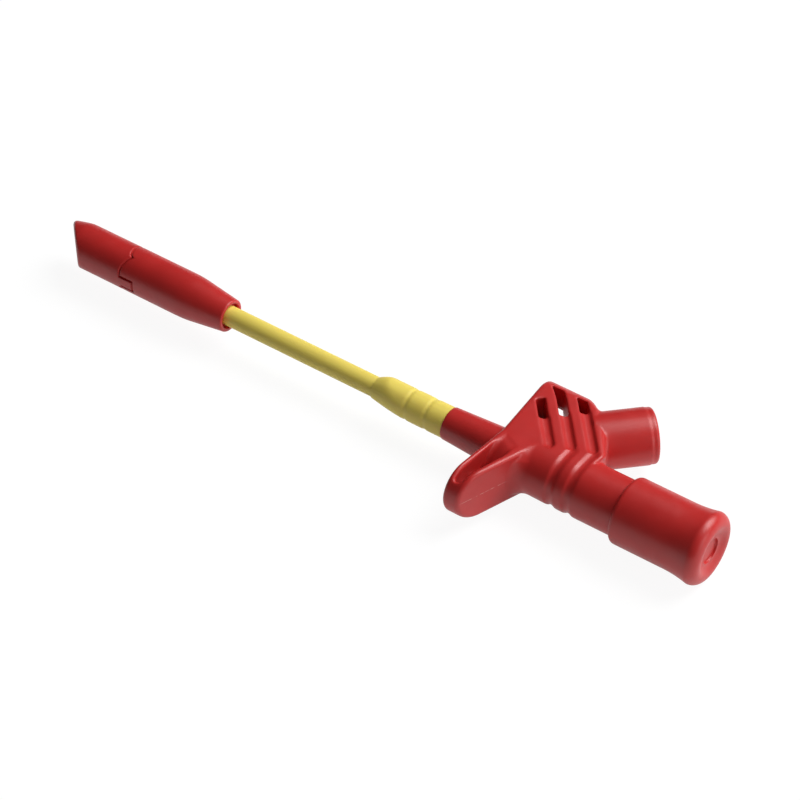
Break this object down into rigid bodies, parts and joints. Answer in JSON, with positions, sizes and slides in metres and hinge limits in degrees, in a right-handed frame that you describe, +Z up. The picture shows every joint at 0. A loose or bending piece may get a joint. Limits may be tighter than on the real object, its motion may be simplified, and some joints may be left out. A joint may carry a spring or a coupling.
{
  "type": "grabber test hook",
  "caption": "Insulated clamp-type test probe: a sprung plunger pushes a hook out of a slanted nose on a long shaft, with an angled shrouded 4 mm socket.",
  "frame": {"origin": "middle of the part's footprint, on the surface that it lies on", "axes": "+X along the shaft from the hooked tip to the plunger, +Y to the socket's side, +Z up"},
  "size_m": [0.1761, 0.0478, 0.0166],
  "materials": {
    "red_plastic": "moulded polyamide, satin",
    "yellow_plastic": "extruded polypropylene, satin",
    "brass": "turned",
    "nickel": "nickel plated",
    "steel": "drawn"
  },
  "bodies": {
    "grip": {"handle_body": "red_plastic", "nose_hood": "red_plastic", "head_sleeve": "red_plastic", "head_bush": "brass", "shaft_tube": "yellow_plastic", "shaft_collar": "yellow_plastic", "guide_tube": "brass", "rod_bush": "brass", "sliding_contact": "brass", "spring_washer": "steel", "return_spring": "steel", "socket_contact": "nickel", "socket_insulator": "red_plastic", "contact_link": "brass"},
    "plunger_set": {"plunger": "red_plastic", "push_rod": "steel", "hook": "steel", "hook_carrier": "brass", "hook_pin": "steel", "rod_anchor": "brass"}
  },
  "joints": [
    {"name": "plunger_slide", "type": "slide", "parent": "grip", "child": "plunger_set", "axis": [-1, 0, 0], "range_m": [0, 0.009], "stiffness_N_per_m": 400, "springref_m": -0.008, "deforming": ["return_spring"]}
  ]
}
